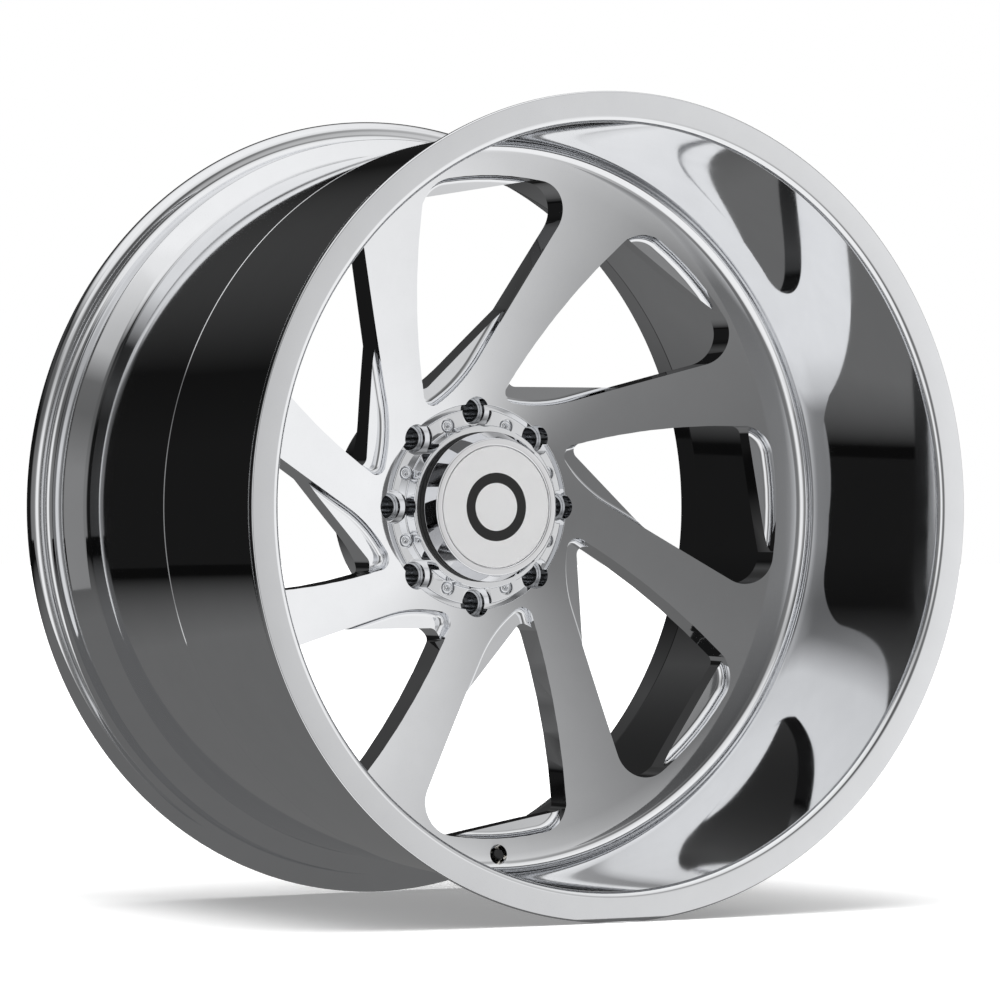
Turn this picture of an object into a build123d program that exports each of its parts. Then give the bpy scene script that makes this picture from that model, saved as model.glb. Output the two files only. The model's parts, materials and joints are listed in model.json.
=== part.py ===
from build123d import *
import os
from math import cos, radians, sin, sqrt, tan

# Forged one-piece racing wheel rim, 26 x 16 inches, with its bolt-on centre cap and valve.
# Millimetres. The wheel's axis is Y and the outer side faces -Y. The origin is the centre of
# the hub bore on the mounting face. +Z is up, and the valve is at the bottom.
# A profile point is (radius, y). "Depth" is measured back from the outer face of the front flange.

# ---------------------------------------------------------------- driving dimensions
# Rim
bead_diameter = 665.2          # 26 inch rim, at the heel of the bead seat
flange_height = 17.5
flange_thickness = 12.7
flange_back_radius = 9.5
flange_edge_radius = 1.3
rim_width = 406.4              # 16 inches between the flanges
wheel_offset = -101.0          # centre plane to mounting face, towards the outer side
bead_heel_radius = 6.5
bead_seat_width = 20.0
bead_seat_angle = 5.0
hump_height = 2.2
hump_run = 5.2
lip_face_width = 20.0
lip_edge_radius = 6.0
lip_draft = 4.6                # the lip narrows by this much down to the disc
barrel_wall = 5.0
front_barrel_drop = 8.2        # barrel below the bead seat diameter, just behind the spokes
barrel_step = 1.3
barrel_step_length = 12.6
drop_centre_depth = 16.6       # tyre well below the bead seat diameter
rear_wall_length = 16.0        # slope from the tyre well up to the rear hump
rear_mouth_wall = 7.0

# Disc and spokes
disc_depth_outer = 207.9       # front flange face to the disc at its outer ring
disc_depth_hub = 246.6
disc_bow = 1.3                 # hollow of the spokes' face
disc_ring_inset = 15.5         # slope change in the disc, inside the foot of the lip
disc_ring_rise = 1.2
lip_fillet = 11.0
disc_thickness_outer = 26.0
disc_thickness_hub = 31.0
disc_back_hub_margin = 16.0
disc_back_fillet = 18.0

# Spoke windows, drawn for the window above the hub
window_count = 8
window_ring_inset = 13.5       # outer edge of the windows inside the disc's slope change
window_lead_angle = 104.3      # outer corners, seen from the front, anticlockwise from +X
window_trail_angle = 73.2
window_hub_margin = 7.5        # window tip outside the cap recess
window_tip_angle = 121.7
window_flank_bow = 600.0       # radius of the bowed leading flank
window_bend_rise = 34.2        # where the straight trailing flank turns towards the tip
window_bend_angle = 90.2
lead_corner_radius = 30.0
trail_corner_radius = 27.0
tip_corner_radius = 10.0
opening_corner_radius = 8.0
hub_ledge_rise = 8.5           # straight edge of the hub-end ledge, beyond the tip's radius
hub_ledge_angle = 45.0
rim_ledge_inset = 13.6         # straight edge of the rim-end ledge, inside the outer edge
rim_ledge_angle = 9.5
hub_ledge_drop = 8.0
rim_ledge_drop = 13.0
ledge_cove_radius = 6.0

# Hub
hub_bore_diameter = 125.1
bore_chamfer = 2.0
lug_count = 8
lug_circle_diameter = 170.0
lug_pocket_diameter = 24.4
lug_pocket_depth = 46.0        # from the cap plate's outer face to the bottom of the insert
lug_hole_diameter = 15.5
hub_pad_margin = 21.0          # mounting pad beyond the lug circle
hub_pad_flare = 3.0
cap_recess_margin = 5.5        # cap recess beyond the lug circle
cap_register_step = 2.45       # step in the bore that centres the cap
cap_register_depth = 8.5
edge_break = 0.8

# Lug seat inserts
insert_length = 30.0
insert_mouth_diameter = 21.0
insert_mouth_depth = 11.0
lug_seat_angle = 60.0

# Centre cap
cap_plate_proud = 0.6
cap_plate_gap = 4.0            # round the plate, inside the recess
cap_plate_thickness = 8.0
cap_scallop_radius = 14.6
collar_height = 15.7
collar_wall = 8.0
collar_ledge_thickness = 12.0
spigot_wall = 9.75
spigot_length = 8.0
spigot_clearance = 0.25
cap_edge_radius = 1.2
cap_screw_count = 8
cap_screw_circle_inset = 8.0   # screw circle inside the lug circle
cap_screw_collar_gap = 5.0     # screw circle to the collar
cap_screw_diameter = 6.0
cap_screw_length = 20.0
cap_screw_head_diameter = 10.5
cap_screw_head_height = 3.3
cap_screw_socket = 4.0
cap_screw_socket_depth = 2.0
cap_screw_pocket_diameter = 12.8

hat_taper = 6.2
hat_collar_inset = 5.8         # hat's skirt inside the collar's outer edge
hat_height = 12.9
hat_lift = 6.4                 # gap between the collar and the hat's skirt
hat_neck_clearance = 0.4
hat_wall = 6.6
hat_crown = 8.0
hat_edge_radius = 1.6
hat_screw_count = 6
hat_screw_diameter = 4.0
hat_screw_length = 16.0
hat_screw_head_diameter = 7.0
hat_screw_head_height = 4.0
hat_screw_clearance = 0.25
seal_section = 5.0

badge_margin = 6.7
badge_gap = 0.3
badge_thickness = 2.5
badge_sink = 0.8
badge_edge_radius = 0.5
mark_outer_radius = 30.0
mark_inner_radius = 21.0
mark_thickness = 0.8
mark_proud = 0.1

# Valve, on its own axis: distances run from the disc face in towards the tyre side
valve_tilt = 25.0
valve_pocket_diameter = 17.0
valve_pocket_depth = 16.0
valve_hole_diameter = 11.5
valve_hole_length = 20.0
valve_seat_diameter = 18.0
valve_boss_radius = 14.0
valve_boss_start = 8.0
valve_boss_end = 52.0
valve_boss_cover = 1.0         # how far the boss stays inside the barrel's outer skin
valve_seal_thickness = 2.0
valve_seal_diameter = 16.0
valve_head_diameter = 15.0
valve_head_thickness = 3.0
valve_shank_diameter = 10.8
valve_stem_diameter = 7.7
valve_stem_end = 1.5
valve_bore_diameter = 5.2
valve_port_diameter = 4.2
washer_diameter = 15.6
washer_thickness = 1.0
nut_across_flats = 13.0
nut_thickness = 4.5
nut_chamfer = 0.6
cap_shell_diameter = 9.8
cap_shell_top = -1.0
cap_shell_length = 8.6
cap_shell_roof = 1.4
cap_shell_clearance = 0.08
cap_grip_count = 18
cap_grip_depth = 0.35
cap_seal_thickness = 0.8
core_clearance = 0.05
core_length = 12.0
core_start = 3.0
core_pin_diameter = 1.3
core_pin_bore = 1.44
core_pin_proud = 0.9
core_disc_diameter = 3.4
core_disc_thickness = 1.0
core_travel = 1.3
core_chamber_diameter = 3.9
core_chamber_inset = 2.4
core_seal_width = 1.6
core_seal_depth = 0.5
spring_wire = 0.4
spring_radius = 1.3
spring_turns = 5

# ---------------------------------------------------------------- derived dimensions
flange_radius = bead_diameter / 2 + flange_height
bead_radius = bead_diameter / 2
front_y = wheel_offset - rim_width / 2 - flange_thickness
rear_y = wheel_offset + rim_width / 2 + flange_thickness
lip_radius = flange_radius - lip_face_width - lip_edge_radius
front_barrel_radius = bead_radius - front_barrel_drop
well_radius = bead_radius - drop_centre_depth
step_radius = front_barrel_radius - barrel_step
barrel_step_y = front_y + disc_depth_outer + barrel_step_length
well_end_y = rear_y - flange_thickness - bead_seat_width - hump_run - rear_wall_length
bore_radius = hub_bore_diameter / 2
lug_circle_radius = lug_circle_diameter / 2
hub_pad_radius = lug_circle_radius + hub_pad_margin
disc_back_hub_radius = hub_pad_radius + disc_back_hub_margin
cap_recess_radius = lug_circle_radius + cap_recess_margin
cap_register_radius = bore_radius + cap_register_step
disc_ring_radius = lip_radius - lip_draft - disc_ring_inset
valve_circle_radius = disc_ring_radius
window_outer_radius = disc_ring_radius - window_ring_inset
window_tip_radius = cap_recess_radius + window_hub_margin
window_bend_radius = window_tip_radius + window_bend_rise
hub_ledge_offset = window_tip_radius + hub_ledge_rise
rim_ledge_offset = window_outer_radius - rim_ledge_inset
cap_plate_depth = disc_depth_hub - cap_plate_proud
cap_plate_radius = cap_recess_radius - cap_plate_gap
cap_screw_circle_radius = lug_circle_radius - cap_screw_circle_inset
collar_radius = cap_screw_circle_radius - cap_screw_collar_gap
collar_bore_radius = collar_radius - collar_wall
hat_base_radius = collar_radius - hat_collar_inset
hat_top_radius = hat_base_radius - hat_taper
badge_radius = hat_top_radius - badge_margin
spoke_pitch = 360 / window_count
front_plane = Plane.XZ          # local x is +X, local y is +Z, and it faces outwards to -Y


def at_depth(depth):
    """The y of a depth behind the front flange's outer face."""
    return front_y + depth


def polar(radius, angle):
    return (radius * cos(radians(angle)), radius * sin(radians(angle)))


def nearest(shape, point):
    """The corner of a flat shape that lies nearest to a point."""
    target = Vector(*point)
    return shape.vertices().sort_by(lambda corner: (Vector(*corner) - target).length)[0]


def round_corners(shape, corners):
    """Round each listed (point, radius) corner of a flat shape."""
    for point, radius in corners:
        shape = fillet(nearest(shape, point), radius)
    return shape


def turned(*points):
    """A solid turned about the wheel's axis from (radius, y) points."""
    return revolve(make_face(Polyline(*points, close=True)), Axis.Y)


def wheel_drill(radius, angle, y_start, y_end, diameter):
    """A round bar along the wheel's axis, centred at a radius and an angle."""
    x, z = polar(radius, angle)
    length = y_end - y_start
    return Pos(x, (y_start + y_end) / 2, z) * Rot(90, 0, 0) * Cylinder(diameter / 2, length)


def around(count, start_angle):
    return [start_angle + index * 360 / count for index in range(count)]


# ---------------------------------------------------------------- wheel body
disc_back_outer_depth = disc_depth_outer + disc_thickness_outer
disc_fall = (disc_depth_hub - disc_depth_outer) / (disc_ring_radius - cap_recess_radius)
disc_back_hub_depth = (disc_depth_hub + disc_thickness_hub
                       - (disc_back_hub_radius - cap_recess_radius) * disc_fall)
disc_back_slope = (disc_back_hub_depth - disc_back_outer_depth) / (
    disc_ring_radius - disc_back_hub_radius)
cap_floor_depth = cap_plate_depth + cap_plate_thickness


def disc_back_depth(radius):
    """Depth of the back of the spokes at a radius."""
    return disc_back_outer_depth + (disc_ring_radius - radius) * disc_back_slope


def flange_side(face_y, inward):
    """The tyre side of one flange, bead seat and hump; inward is +1 at the front, -1 at the rear."""
    seat_y = face_y + inward * flange_thickness
    seat_end_y = seat_y + inward * bead_seat_width
    seat_end = bead_radius - bead_seat_width * tan(radians(bead_seat_angle))
    crest = (seat_end + hump_height, seat_end_y + inward * hump_run)
    points = [(flange_radius, face_y), (flange_radius, seat_y), (bead_radius, seat_y),
              (seat_end, seat_end_y), crest]
    rounds = [(points[0], flange_edge_radius), (points[1], flange_back_radius),
              (points[2], bead_heel_radius), (points[3], hump_run), (points[4], hump_run / 2)]
    return points, rounds


def wheel_profile():
    """Half section of the whole forging, from the flanges to the hub bore."""
    front_points, front_rounds = flange_side(front_y, 1)
    rear_points, rear_rounds = flange_side(rear_y, -1)
    front_crest = front_points[-1]
    rear_crest = rear_points[-1]
    hump_foot = (front_crest[0] - hump_height - 1, front_crest[1] + 2 * hump_run)
    step_start = (front_barrel_radius, at_depth(disc_depth_outer))
    step_end = (step_radius, barrel_step_y)
    well_end = (well_radius, well_end_y)
    mouth_radius = bead_radius - rear_mouth_wall
    mouth = (mouth_radius, rear_y)
    mouth_end = (mouth_radius, rear_crest[1] + 2)
    waist = (well_radius - barrel_wall, well_end[1] + 2)
    disc_corner_radius = step_radius - barrel_wall
    disc_corner = (disc_corner_radius, at_depth(disc_back_depth(disc_corner_radius)))
    disc_back_hub = (disc_back_hub_radius, at_depth(disc_back_hub_depth))
    pad_root = (hub_pad_radius + hub_pad_flare, at_depth(disc_back_hub_depth) + 16)
    pad_edge = (hub_pad_radius, 0)
    bore_back = (bore_radius, 0)
    bore_front = (bore_radius, at_depth(cap_floor_depth + cap_register_depth))
    register_floor = (cap_register_radius, at_depth(cap_floor_depth + cap_register_depth))
    register_edge = (cap_register_radius, at_depth(cap_floor_depth))
    recess_floor = (cap_recess_radius, at_depth(cap_floor_depth))
    recess_edge = (cap_recess_radius, at_depth(disc_depth_hub))
    disc_middle = ((cap_recess_radius + disc_ring_radius) / 2,
                   at_depth((disc_depth_hub + disc_depth_outer) / 2 + disc_bow))
    disc_ring = (disc_ring_radius, at_depth(disc_depth_outer))
    lip_root = (lip_radius - lip_draft, at_depth(disc_depth_outer - disc_ring_rise))
    lip_mouth = (lip_radius, front_y)

    outside = Polyline(lip_mouth, *front_points, hump_foot, step_start, step_end, well_end,
                       *reversed(rear_points), mouth)
    inside = Polyline(mouth, mouth_end, waist, disc_corner, disc_back_hub, pad_root, pad_edge,
                      bore_back, bore_front, register_floor, register_edge, recess_floor,
                      recess_edge)
    face = ThreePointArc(recess_edge, disc_middle, disc_ring)
    lip = Polyline(disc_ring, lip_root, lip_mouth)
    profile = make_face(outside + inside + face + lip)
    return round_corners(profile, front_rounds + rear_rounds + [
        (lip_mouth, lip_edge_radius), (lip_root, lip_fillet), (mouth, 3), (mouth_end, 8),
        (waist, 6), (well_end, 10), (disc_corner, disc_back_fillet), (disc_back_hub, 20),
        (pad_root, 10), (pad_edge, 2), (bore_back, bore_chamfer), (recess_edge, edge_break)])


def window_shapes():
    """The window's outline on the face, and the smaller opening that goes right through."""
    lead = polar(window_outer_radius, window_lead_angle)
    trail = polar(window_outer_radius, window_trail_angle)
    tip = polar(window_tip_radius, window_tip_angle)
    bend = polar(window_bend_radius, window_bend_angle)
    crown = polar(window_outer_radius, (window_lead_angle + window_trail_angle) / 2)
    flank = Line(trail, bend)
    sharp = make_face(
        ThreePointArc(lead, crown, trail)
        + flank
        + TangentArc(bend, tip, tangent=flank % 1)
        + RadiusArc(tip, lead, window_flank_bow))
    outline = round_corners(sharp, [(lead, lead_corner_radius), (trail, trail_corner_radius),
                                    (tip, tip_corner_radius)])
    span = 2 * window_outer_radius
    hub_side = Rot(0, 0, hub_ledge_angle) * Pos(0, hub_ledge_offset - span / 2) * Rectangle(
        2 * span, span)
    rim_side = Rot(0, 0, rim_ledge_angle) * Pos(0, rim_ledge_offset + span / 2) * Rectangle(
        2 * span, span)
    opening = sharp - hub_side - rim_side
    opening = round_corners(opening, [(tip, opening_corner_radius), (lead, opening_corner_radius),
                                      (trail, trail_corner_radius)])
    return outline, opening


def ledge_space():
    """The space in front of the window ledges: a flat floor that slopes in towards the hub."""
    middle = (window_lead_angle + window_trail_angle) / 2
    hub_floor = at_depth(disc_depth_hub + hub_ledge_drop)
    rim_floor = at_depth(disc_depth_outer + rim_ledge_drop)
    slope = (hub_floor - rim_floor) / (window_outer_radius - window_tip_radius)
    profile = make_face(Polyline(
        (0, front_y), (2 * window_outer_radius, front_y),
        (2 * window_outer_radius, rim_floor - slope * window_outer_radius),
        (window_outer_radius, rim_floor), (window_tip_radius, hub_floor),
        (0, hub_floor + slope * window_tip_radius), close=True))
    slab = extrude(profile, 2 * window_outer_radius, both=True)
    return Rot(0, -middle, 0) * slab


def window_cutter():
    """One window: the through opening, and the sunk ledges at its two ends."""
    outline, opening = window_shapes()
    reach = disc_depth_hub + 2 * disc_thickness_hub
    start = front_plane * Pos(0, 0, -at_depth(reach))
    through = extrude(start * opening, reach)
    ledge = extrude(start * outline, reach) & ledge_space()
    floor = ledge.faces().sort_by(Axis.Y)[-1]
    ledge = fillet(floor.edges(), ledge_cove_radius)
    return through + ledge


def lug_angles():
    return around(lug_count, 0)


def valve_plane():
    """Origin on the disc face, local z in along the valve towards the tyre side."""
    direction = (0, cos(radians(valve_tilt)), -sin(radians(valve_tilt)))
    return Plane(origin=(0, at_depth(disc_depth_outer), -valve_circle_radius),
                 x_dir=(1, 0, 0), z_dir=direction)


def along_valve(start, end, diameter):
    """A round bar on the valve's axis, between two distances from the disc face."""
    bar = Pos(0, 0, (start + end) / 2) * Cylinder(diameter / 2, end - start)
    return valve_plane() * bar


def valve_tube(start, end, outer, inner):
    return along_valve(start, end, outer) - along_valve(start - 1, end + 1, inner)


valve_seat_depth = valve_pocket_depth + valve_hole_length


def valve_boss():
    """Extra metal behind the disc around the valve hole, kept inside the barrel's outer skin."""
    boss = along_valve(valve_boss_start, valve_boss_end, 2 * valve_boss_radius)
    top = step_radius - valve_boss_cover
    bottom = well_radius - valve_boss_cover
    near = at_depth(disc_depth_outer)
    skin = turned((bore_radius, near), (top, near), (top, barrel_step_y), (bottom, well_end_y),
                  (bore_radius, well_end_y))
    return boss & skin


def wheel_body():
    body = revolve(wheel_profile(), Axis.Y)
    window = window_cutter()
    for angle in around(window_count, 0):
        body -= Rot(0, -angle, 0) * window
    body += valve_boss()
    lug_floor = at_depth(cap_plate_depth + lug_pocket_depth)
    for angle in lug_angles():
        body -= wheel_drill(lug_circle_radius, angle, front_y, lug_floor, lug_pocket_diameter)
        body -= wheel_drill(lug_circle_radius, angle, front_y, 5, lug_hole_diameter)
    screw_floor = at_depth(cap_floor_depth) + cap_screw_length
    for angle in cap_screw_angles():
        body -= wheel_drill(cap_screw_circle_radius, angle, front_y, screw_floor, cap_screw_diameter)
    body -= along_valve(-40, valve_pocket_depth, valve_pocket_diameter)
    body -= along_valve(0, valve_boss_end, valve_hole_diameter)
    body -= along_valve(valve_seat_depth, valve_boss_end + 10, valve_seat_diameter)
    return body


# ---------------------------------------------------------------- lug seat inserts
def lug_seat_insert(angle):
    """Pressed steel bush with the 60 degree cone that the lug nut seats on."""
    back = cap_plate_depth + lug_pocket_depth
    front = back - insert_length
    cone_start = front + insert_mouth_depth
    mouth = insert_mouth_diameter / 2
    hole = lug_hole_diameter / 2
    cone_end = cone_start + (mouth - hole) / tan(radians(lug_seat_angle / 2))
    outer = lug_pocket_diameter / 2
    bush = turned((outer, at_depth(front)), (outer, at_depth(back)), (hole, at_depth(back)),
                  (hole, at_depth(cone_end)), (mouth, at_depth(cone_start)), (mouth, at_depth(front)))
    x, z = polar(lug_circle_radius, angle)
    return Pos(x, 0, z) * bush


# ---------------------------------------------------------------- centre cap
collar_top_depth = cap_plate_depth - collar_height
ledge_top_depth = cap_floor_depth - collar_ledge_thickness - 2
skirt_depth = collar_top_depth - hat_lift
hat_top_depth = skirt_depth - hat_height
hat_neck_radius = collar_bore_radius - hat_neck_clearance
hat_screw_circle = hat_neck_radius - hat_wall / 2
badge_face_depth = hat_top_depth + badge_sink


def cap_screw_angles():
    return around(cap_screw_count, 180 / cap_screw_count)


def hat_screw_angles():
    return around(hat_screw_count, 90)


def cap_base():
    """Bolt-on ring: scalloped plate, raised collar and the spigot that centres it in the hub."""
    spigot = cap_register_radius - spigot_clearance
    cap_bore = spigot - spigot_wall
    profile_points = [
        (cap_plate_radius, at_depth(cap_plate_depth)), (cap_plate_radius, at_depth(cap_floor_depth)),
        (spigot, at_depth(cap_floor_depth)), (spigot, at_depth(cap_floor_depth + spigot_length)),
        (cap_bore, at_depth(cap_floor_depth + spigot_length)),
        (cap_bore, at_depth(ledge_top_depth)), (collar_bore_radius, at_depth(ledge_top_depth)),
        (collar_bore_radius, at_depth(collar_top_depth)), (collar_radius, at_depth(collar_top_depth)),
        (collar_radius, at_depth(cap_plate_depth))]
    profile = make_face(Polyline(*profile_points, close=True))
    profile = round_corners(profile, [(profile_points[0], cap_edge_radius),
                                      (profile_points[3], cap_edge_radius),
                                      (profile_points[8], cap_edge_radius),
                                      (profile_points[9], cap_edge_radius)])
    base = revolve(profile, Axis.Y)
    top = at_depth(collar_top_depth)
    bottom = at_depth(cap_floor_depth) + 1
    for angle in lug_angles():
        base -= wheel_drill(lug_circle_radius, angle, top, bottom, 2 * cap_scallop_radius)
    seat = at_depth(cap_plate_depth + cap_screw_head_height)
    for angle in cap_screw_angles():
        base -= wheel_drill(cap_screw_circle_radius, angle, top, bottom, cap_screw_diameter)
        base -= wheel_drill(cap_screw_circle_radius, angle, top, seat, cap_screw_pocket_diameter)
    head_seat = at_depth(hat_screw_seat_depth)
    spigot_end = at_depth(cap_floor_depth + spigot_length) + 1
    clearance_diameter = hat_screw_head_diameter + 2 * hat_screw_clearance
    for angle in hat_screw_angles():
        base -= wheel_drill(hat_screw_circle, angle, top, spigot_end, hat_screw_diameter)
        base -= wheel_drill(hat_screw_circle, angle, head_seat, spigot_end, clearance_diameter)
    return base


hat_screw_seat_depth = cap_floor_depth - hat_screw_head_height - 1.5


def socket_screw(shank_diameter, length, head_diameter, head_height, socket, socket_depth, edge):
    """A round-headed socket screw, head up, with the underside of the head at the origin."""
    head = extrude(Circle(head_diameter / 2), head_height)
    head = fillet(head.edges().group_by(Axis.Z)[-1], edge)
    head -= Pos(0, 0, head_height - socket_depth) * extrude(
        RegularPolygon(socket / 2, 6, major_radius=False), socket_depth + 1)
    shank = extrude(Circle(shank_diameter / 2), -length)
    shank = chamfer(shank.edges().group_by(Axis.Z)[0], shank_diameter / 10)
    return head + shank


def facing_out(radius, angle, y):
    """Places a part drawn along Z so that it points out of the wheel's front."""
    x, z = polar(radius, angle)
    return Pos(x, y, z) * Rot(90, 0, 0)


def facing_back(radius, angle, y):
    x, z = polar(radius, angle)
    return Pos(x, y, z) * Rot(-90, 0, 0)


def cap_screw(angle):
    screw = socket_screw(cap_screw_diameter, cap_screw_length, cap_screw_head_diameter,
                         cap_screw_head_height, cap_screw_socket, cap_screw_socket_depth, 2.0)
    seat = at_depth(cap_plate_depth + cap_screw_head_height)
    return facing_out(cap_screw_circle_radius, angle, seat) * screw


def hat_screw(angle):
    screw = socket_screw(hat_screw_diameter, hat_screw_length, hat_screw_head_diameter,
                         hat_screw_head_height, 3.0, 2.0, 0.4)
    return facing_back(hat_screw_circle, angle, at_depth(hat_screw_seat_depth)) * screw


def cap_hat():
    """The raised centre of the cap, with a tapered band and a recess for the badge."""
    neck_end = at_depth(ledge_top_depth)
    hollow_roof = at_depth(hat_top_depth + hat_crown)
    inner = hat_neck_radius - hat_wall
    points = [
        (0, at_depth(hat_top_depth + badge_sink + badge_thickness)),
        (badge_radius + badge_gap, at_depth(hat_top_depth + badge_sink + badge_thickness)),
        (badge_radius + badge_gap, at_depth(hat_top_depth)), (hat_top_radius, at_depth(hat_top_depth)),
        (hat_base_radius, at_depth(skirt_depth)), (hat_neck_radius, at_depth(skirt_depth)),
        (hat_neck_radius, neck_end), (inner, neck_end), (inner, hollow_roof), (0, hollow_roof)]
    profile = make_face(Polyline(*points, close=True))
    profile = round_corners(profile, [(points[2], hat_edge_radius), (points[3], hat_edge_radius),
                                      (points[4], hat_edge_radius / 2), (points[8], hat_edge_radius)])
    hat = revolve(profile, Axis.Y)
    thread_end = at_depth(hat_screw_seat_depth) - hat_screw_length
    for angle in hat_screw_angles():
        hat -= wheel_drill(hat_screw_circle, angle, thread_end, neck_end + 1, hat_screw_diameter)
    return hat


def cap_seal():
    """Black rubber ring that fills the gap between the collar and the hat's skirt."""
    middle = (skirt_depth + collar_top_depth) / 2
    half = hat_lift / 2
    points = [(hat_neck_radius, at_depth(middle - half)), (hat_neck_radius, at_depth(middle + half)),
              (hat_neck_radius + seal_section / 2, at_depth(middle + half)),
              (hat_neck_radius + seal_section / 2, at_depth(middle - half))]
    profile = make_face(Polyline(*points, close=True))
    profile = round_corners(profile, [(points[2], 1), (points[3], 1)])
    return revolve(profile, Axis.Y)


def cap_badge():
    """Satin disc in the hat, with a groove for the inlaid ring."""
    back = at_depth(badge_face_depth + badge_thickness)
    face = at_depth(badge_face_depth)
    disc = wheel_drill(0, 0, face, back, 2 * badge_radius)
    disc = fillet(disc.edges().group_by(Axis.Y)[0], badge_edge_radius)
    return disc - mark_ring(face - 1)


def mark_ring(front):
    back = at_depth(badge_face_depth) + mark_thickness
    ring = wheel_drill(0, 0, front, back, 2 * mark_outer_radius)
    return ring - wheel_drill(0, 0, front - 1, back + 1, 2 * mark_inner_radius)


def cap_mark():
    """Plain black ring let into the badge."""
    return mark_ring(at_depth(badge_face_depth) - mark_proud)


# ---------------------------------------------------------------- valve
valve_head_start = valve_seat_depth + valve_seal_thickness
valve_head_end = valve_head_start + valve_head_thickness
washer_start = valve_pocket_depth - washer_thickness
nut_start = washer_start - nut_thickness
stem_shoulder = nut_start - 0.6
core_end = core_start + core_length
core_chamber_end = core_end - core_chamber_inset
core_collar_start = core_start + core_chamber_inset + 0.5
core_collar_end = core_collar_start + core_disc_thickness / 2
core_groove_diameter = valve_bore_diameter - 2 * core_seal_depth
core_seal_start = core_chamber_end + 0.3
core_seal_end = core_seal_start + core_seal_width
cap_shell_end = cap_shell_top + cap_shell_length


def valve_body():
    body = along_valve(valve_head_start, valve_head_end, valve_head_diameter)
    body += along_valve(stem_shoulder, valve_head_start, valve_shank_diameter)
    body += along_valve(valve_stem_end, stem_shoulder, valve_stem_diameter)
    body -= along_valve(valve_stem_end - 1, core_end, valve_bore_diameter)
    body -= along_valve(core_end - 1, valve_head_end + 1, valve_port_diameter)
    return body


def valve_seal():
    return valve_tube(valve_seat_depth, valve_head_start, valve_seal_diameter, valve_shank_diameter)


def valve_washer():
    return valve_tube(washer_start, valve_pocket_depth, washer_diameter, valve_shank_diameter)


def valve_nut():
    blank = extrude(RegularPolygon(nut_across_flats / 2, 6, major_radius=False), nut_thickness)
    corner = nut_across_flats / sqrt(3)
    cone = Pos(0, 0, nut_thickness / 2) * Cylinder(corner, nut_thickness)
    cone = chamfer(cone.edges().filter_by(GeomType.CIRCLE), nut_chamfer)
    nut = valve_plane() * Pos(0, 0, nut_start) * (blank & cone)
    return nut - along_valve(nut_start - 1, washer_start + 1, valve_shank_diameter)


def valve_core():
    """Screwed-in core: a tube that guides the pin and closes on its seal."""
    outer = valve_bore_diameter - 2 * core_clearance
    core = valve_tube(core_start, core_end, outer, core_pin_bore)
    core -= along_valve(core_start + core_chamber_inset, core_chamber_end, core_chamber_diameter)
    return core - valve_tube(core_seal_start, core_seal_end, outer + 1, core_groove_diameter)


def core_seal():
    return valve_tube(core_seal_start, core_seal_end, valve_bore_diameter, core_groove_diameter)


def core_pin():
    """Sprung pin: pushing it in lets air out."""
    disc_start = core_end + core_clearance
    disc_end = disc_start + core_disc_thickness
    pin = along_valve(core_start - core_pin_proud, disc_end + 0.5, core_pin_diameter)
    pin += along_valve(core_collar_start, core_collar_end, core_disc_diameter)
    return pin + along_valve(disc_start, disc_end, core_disc_diameter)


def core_spring():
    start = core_collar_end + spring_wire / 2 + core_clearance
    end = core_chamber_end - spring_wire / 2 - core_clearance
    pitch = (end - start) / spring_turns
    path = Helix(pitch, end - start, spring_radius)
    section = Plane(origin=path @ 0, z_dir=path % 0) * Circle(spring_wire / 2)
    return valve_plane() * Pos(0, 0, start) * sweep(section, path=path, is_frenet=True)


def valve_cap():
    """Knurled black cap, level with the disc face."""
    shell = Pos(0, 0, cap_shell_length / 2) * Cylinder(cap_shell_diameter / 2, cap_shell_length)
    shell = fillet(shell.edges().group_by(Axis.Z)[0], 1.0)
    groove = Pos(cap_shell_diameter / 2, 0, cap_shell_length / 2 + 1.5) * Cylinder(
        cap_grip_depth, cap_shell_length)
    for angle in around(cap_grip_count, 0):
        shell -= Rot(0, 0, angle) * groove
    bore = valve_stem_diameter + 2 * cap_shell_clearance
    cap = valve_plane() * Pos(0, 0, cap_shell_top) * shell
    return cap - along_valve(cap_shell_top + cap_shell_roof, cap_shell_end + 1, bore)


def valve_cap_seal():
    start = cap_shell_top + cap_shell_roof
    return along_valve(start, start + cap_seal_thickness, valve_stem_diameter - 1)


# ---------------------------------------------------------------- output
parts = {
    "wheel_body": wheel_body(),
    "lug_seat_inserts": Compound(children=[lug_seat_insert(angle) for angle in lug_angles()]),
    "cap_base": cap_base(),
    "cap_screws": Compound(children=[cap_screw(angle) for angle in cap_screw_angles()]),
    "cap_hat": cap_hat(),
    "cap_hat_screws": Compound(children=[hat_screw(angle) for angle in hat_screw_angles()]),
    "cap_seal": cap_seal(),
    "cap_badge": cap_badge(),
    "cap_mark": cap_mark(),
    "valve_body": valve_body(),
    "valve_seal": valve_seal(),
    "valve_washer": valve_washer(),
    "valve_nut": valve_nut(),
    "valve_core": valve_core(),
    "valve_core_seal": core_seal(),
    "valve_core_pin": core_pin(),
    "valve_core_spring": core_spring(),
    "valve_cap": valve_cap(),
    "valve_cap_seal": valve_cap_seal(),
}

os.makedirs("parts", exist_ok=True)
for name, shape in parts.items():
    export_step(shape, "parts/" + name + ".step")
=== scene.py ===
import json
from math import atan, cos, pi, radians, sin, tan

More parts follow.
